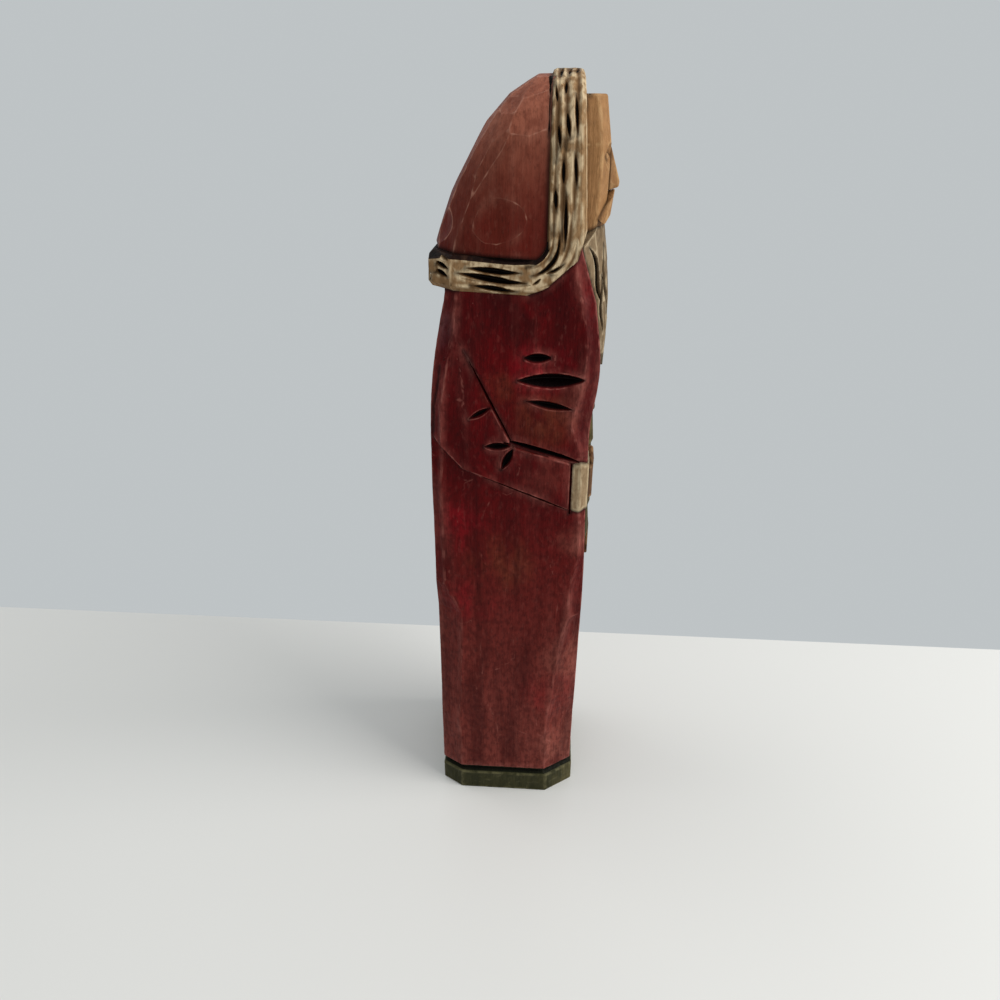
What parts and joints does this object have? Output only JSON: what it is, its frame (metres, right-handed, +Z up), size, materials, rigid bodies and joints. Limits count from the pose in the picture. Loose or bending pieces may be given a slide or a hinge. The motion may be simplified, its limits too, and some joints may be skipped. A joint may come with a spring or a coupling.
{
  "type": "carved wooden santa figure",
  "caption": "Standing robed figure with a pointed hood, fur trim and a long beard, carved from one block of stained wood, holding a small evergreen against the front.",
  "frame": {"origin": "middle of the flat underside of the foot", "axes": "+Z up, the figure faces -Y, its left hand is towards +X"},
  "size_m": [0.0494, 0.0511, 0.23],
  "materials": {
    "stained_wood": "hand-carved basswood with crimson, olive, ochre and brown stain under a thin matt wax"
  },
  "bodies": {
    "root": {"carved_figure": "stained_wood"}
  },
  "joints": []
}
